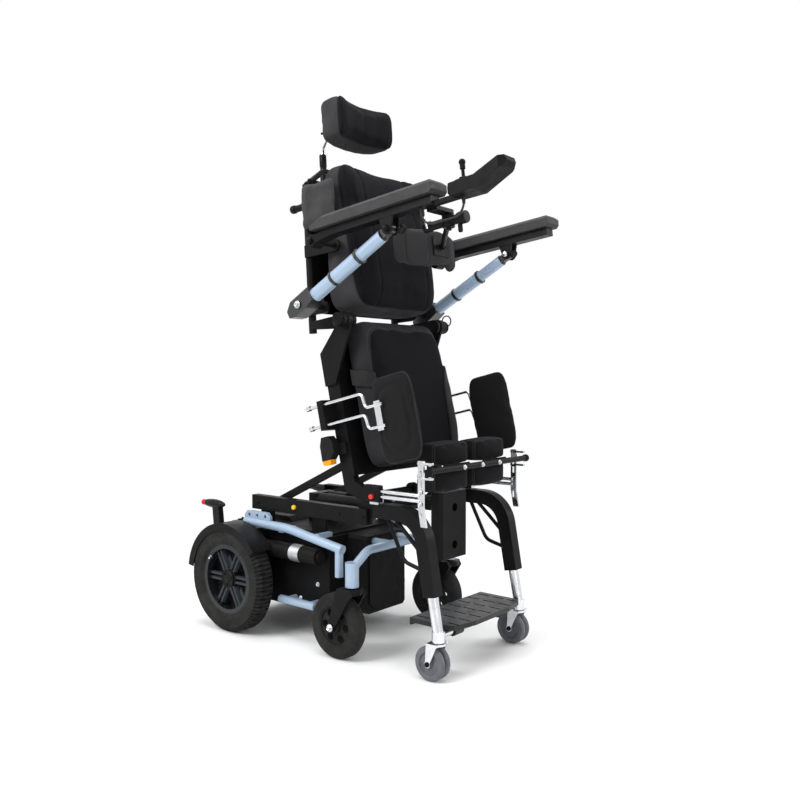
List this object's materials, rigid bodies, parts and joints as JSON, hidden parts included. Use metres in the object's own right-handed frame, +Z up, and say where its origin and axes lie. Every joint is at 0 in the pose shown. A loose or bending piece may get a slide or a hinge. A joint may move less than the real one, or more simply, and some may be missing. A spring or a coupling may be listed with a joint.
{
  "type": "standing wheelchair",
  "caption": "Powered standing wheelchair in its raised pose: wheeled base, lifting seat, upright padded back, arm rests with controller, chest and knee supports.",
  "frame": {"origin": "on the floor, in the mid-plane, halfway between the rear end of the mudguards and the front end of the controller", "axes": "+X forward, +Y to the sitter's left, +Z up; the rest pose is the raised, standing one of the picture"},
  "size_m": [1.302, 0.689, 1.7684],
  "materials": {
    "blue_paint": "satin",
    "blue_tube": "satin",
    "housing": "matte",
    "motor": "satin",
    "black_plastic": "satin",
    "black_paint": "satin",
    "black_alloy": "satin",
    "tyre": "matte",
    "rim": "satin",
    "grey_rubber": "matte",
    "chrome": "polished",
    "cloth": "matte",
    "arm_pad": "matte",
    "grey_plastic": "satin",
    "cable": "matte",
    "stick": "matte"
  },
  "bodies": {
    "chassis": {"chassis_frame_right": "blue_paint", "chassis_frame_left": "blue_paint", "front_bow": "blue_paint", "battery_box": "housing", "motors": "motor", "mudguards": "black_plastic", "rear_lamps": "black_plastic", "lift_beam_right": "black_paint", "lift_beam_left": "black_paint", "actuator_body": "black_alloy"},
    "seat": {"seat_frame": "black_paint", "seat_cushion": "cloth", "seat_lamp": "black_plastic"},
    "carrier": {"back_carrier": "black_paint"},
    "back": {"back_frame": "black_alloy", "back_cushion": "cloth"},
    "legs": {"leg_right": "black_alloy", "leg_left": "black_alloy", "leg_yoke": "black_paint", "leg_tubes": "chrome", "knee_rails": "chrome"},
    "lift_rod": {"actuator_rod": "chrome"},
    "struts": {"lift_struts": "black_paint"},
    "drive_right": {"drive_tyre_right": "tyre", "drive_rim_right": "rim"},
    "drive_left": {"drive_tyre_left": "tyre", "drive_rim_left": "rim"},
    "caster_right": {"caster_fork_right": "black_paint"},
    "caster_left": {"caster_fork_left": "black_paint"},
    "caster_roll_right": {"caster_wheel_right": "tyre"},
    "caster_roll_left": {"caster_wheel_left": "tyre"},
    "leg_caster_right": {"leg_fork_right": "chrome"},
    "leg_caster_left": {"leg_fork_left": "chrome"},
    "leg_roll_right": {"leg_wheels_right": "grey_rubber"},
    "leg_roll_left": {"leg_wheels_left": "grey_rubber"},
    "foot": {"footplate": "black_alloy"},
    "knee": {"knee_bar": "black_paint", "knee_pads": "cloth"},
    "hip_right": {"hip_rods_right": "chrome", "hip_pad_right": "cloth"},
    "hip_left": {"hip_rods_left": "chrome", "hip_pad_left": "cloth"},
    "head_stalk": {"headrest_stalk": "chrome"},
    "head": {"headrest_plate": "black_paint", "headrest_pad": "cloth"},
    "arm_right": {"arm_right": "black_alloy", "arm_pad_right": "arm_pad", "controller": "black_plastic", "controller_cable": "cable"},
    "arm_left": {"arm_left": "black_alloy", "arm_pad_left": "arm_pad"},
    "strut_tube_right": {"strut_tube_right": "blue_tube"},
    "strut_tube_left": {"strut_tube_left": "blue_tube"},
    "strut_rod_right": {"strut_rod_right": "blue_tube"},
    "strut_rod_left": {"strut_rod_left": "blue_tube"},
    "key": {"controller_key": "grey_plastic"},
    "stick_boot": {"joystick_boot": "stick"},
    "stick": {"joystick": "stick"},
    "chest": {"chest_arm": "black_paint", "chest_pad": "cloth"}
  },
  "joints": [
    {"name": "stand_lift", "type": "hinge", "parent": "chassis", "child": "seat", "pos_m": [0.095, 0, 0.498], "axis": [0, -1, 0], "range_deg": [0, 77]},
    {"name": "back_level", "type": "hinge", "parent": "seat", "child": "carrier", "pos_m": [0.02045, 0, 1.02986], "axis": [0, -1, 0], "range_deg": [-77, 0]},
    {"name": "back_recline", "type": "hinge", "parent": "carrier", "child": "back", "pos_m": [0.02045, 0, 1.02986], "axis": [0, -1, 0], "range_deg": [0, 20]},
    {"name": "leg_swing", "type": "hinge", "parent": "chassis", "child": "legs", "pos_m": [0.095, 0, 0.498], "axis": [0, -1, 0], "range_deg": [0, 14.63]},
    {"name": "lift_screw", "type": "slide", "parent": "chassis", "child": "lift_rod", "axis": [1, 0, 0], "range_m": [0, 0.0996]},
    {"name": "strut_swing", "type": "hinge", "parent": "seat", "child": "struts", "pos_m": [-0.05536, 0, 0.58028], "axis": [0, -1, 0], "range_deg": [-112.11, 0]},
    {"name": "drive_right", "type": "hinge", "parent": "chassis", "child": "drive_right", "pos_m": [-0.465, -0.276, 0.178], "axis": [0, 1, 0], "continuous": true},
    {"name": "caster_swivel_right", "type": "hinge", "parent": "chassis", "child": "caster_right", "pos_m": [0.062, -0.25, 0.226], "axis": [0, 0, 1], "continuous": true},
    {"name": "caster_spin_right", "type": "hinge", "parent": "caster_right", "child": "caster_roll_right", "pos_m": [0.006, -0.25, 0.1], "axis": [0, 1, 0], "continuous": true},
    {"name": "leg_swivel_right", "type": "hinge", "parent": "legs", "child": "leg_caster_right", "pos_m": [0.36, -0.216, 0.112], "axis": [0, 0, 1], "continuous": true},
    {"name": "leg_spin_right", "type": "hinge", "parent": "leg_caster_right", "child": "leg_roll_right", "pos_m": [0.34, -0.216, 0.05], "axis": [0, 1, 0], "continuous": true},
    {"name": "hip_slide_right", "type": "slide", "parent": "seat", "child": "hip_right", "axis": [0.9744, 0, 0.225], "range_m": [-0.015, 0.025]},
    {"name": "arm_tilt_right", "type": "hinge", "parent": "back", "child": "arm_right", "pos_m": [-0.03223, -0.308, 1.26201], "axis": [0, -1, 0], "range_deg": [-20, 10]},
    {"name": "strut_turn_right", "type": "hinge", "parent": "back", "child": "strut_tube_right", "pos_m": [-0.07956, -0.308, 1.07467], "axis": [0, -1, 0], "range_deg": [-13.7, 6.9]},
    {"name": "strut_slide_right", "type": "slide", "parent": "strut_tube_right", "child": "strut_rod_right", "axis": [0.8727, 0, 0.4882], "range_m": [-0.0526, 0.0265]},
    {"name": "drive_left", "type": "hinge", "parent": "chassis", "child": "drive_left", "pos_m": [-0.465, 0.276, 0.178], "axis": [0, 1, 0], "continuous": true},
    {"name": "caster_swivel_left", "type": "hinge", "parent": "chassis", "child": "caster_left", "pos_m": [0.062, 0.25, 0.226], "axis": [0, 0, 1], "continuous": true},
    {"name": "caster_spin_left", "type": "hinge", "parent": "caster_left", "child": "caster_roll_left", "pos_m": [0.006, 0.25, 0.1], "axis": [0, 1, 0], "continuous": true},
    {"name": "leg_swivel_left", "type": "hinge", "parent": "legs", "child": "leg_caster_left", "pos_m": [0.36, 0.216, 0.112], "axis": [0, 0, 1], "continuous": true},
    {"name": "leg_spin_left", "type": "hinge", "parent": "leg_caster_left", "child": "leg_roll_left", "pos_m": [0.34, 0.216, 0.05], "axis": [0, 1, 0], "continuous": true},
    {"name": "hip_slide_left", "type": "slide", "parent": "seat", "child": "hip_left", "axis": [0.9744, 0, 0.225], "range_m": [-0.015, 0.025]},
    {"name": "arm_tilt_left", "type": "hinge", "parent": "back", "child": "arm_left", "pos_m": [-0.03223, 0.308, 1.26201], "axis": [0, -1, 0], "range_deg": [-20, 10]},
    {"name": "strut_turn_left", "type": "hinge", "parent": "back", "child": "strut_tube_left", "pos_m": [-0.07956, 0.308, 1.07467], "axis": [0, -1, 0], "range_deg": [-13.7, 6.9]},
    {"name": "strut_slide_left", "type": "slide", "parent": "strut_tube_left", "child": "strut_rod_left", "axis": [0.8727, 0, 0.4882], "range_m": [-0.0526, 0.0265]},
    {"name": "foot_flip", "type": "hinge", "parent": "legs", "child": "foot", "pos_m": [0.352, 0, 0.124], "axis": [0, 1, 0], "range_deg": [0, 60]},
    {"name": "knee_swing", "type": "hinge", "parent": "legs", "child": "knee", "pos_m": [0.352, -0.246, 0.594], "axis": [0, 0, -1], "range_deg": [0, 100]},
    {"name": "head_height", "type": "slide", "parent": "back", "child": "head_stalk", "axis": [-0.0628, 0, 0.998], "range_m": [0, 0.08]},
    {"name": "head_tilt", "type": "hinge", "parent": "head_stalk", "child": "head", "pos_m": [-0.25167, 0, 1.69208], "axis": [0, -1, 0], "range_deg": [-20, 20]},
    {"name": "key_press", "type": "slide", "parent": "arm_right", "child": "key", "axis": [0.1149, 0, -0.9934], "range_m": [0, 0.002], "stiffness_N_per_m": 300},
    {"name": "stick_pitch", "type": "hinge", "parent": "arm_right", "child": "stick_boot", "pos_m": [0.50846, -0.308, 1.35678], "axis": [0, 1, 0], "range_deg": [-18, 18], "stiffness_Nm_per_rad": 1.2},
    {"name": "stick_roll", "type": "hinge", "parent": "stick_boot", "child": "stick", "pos_m": [0.50846, -0.308, 1.35678], "axis": [0.9934, 0, 0.1149], "range_deg": [-18, 18], "stiffness_Nm_per_rad": 1.2},
    {"name": "chest_swing", "type": "hinge", "parent": "arm_right", "child": "chest", "pos_m": [0.39825, -0.224, 1.28263], "axis": [0.1149, 0, -0.9934], "range_deg": [0, 75]}
  ],
  "couplings": [
    {"joint": "back_level", "follows": "stand_lift", "ratio": -1},
    {"joint": "leg_swing", "follows": "stand_lift", "ratio": 0.19},
    {"joint": "lift_screw", "follows": "stand_lift", "m_per_rad": 0.0741},
    {"joint": "strut_swing", "follows": "stand_lift", "ratio": -1.456},
    {"joint": "strut_turn_right", "follows": "arm_tilt_right", "ratio": 0.6763},
    {"joint": "strut_slide_right", "follows": "arm_tilt_right", "m_per_rad": 0.1494},
    {"joint": "strut_turn_left", "follows": "arm_tilt_left", "ratio": 0.6763},
    {"joint": "strut_slide_left", "follows": "arm_tilt_left", "m_per_rad": 0.1494}
  ]
}
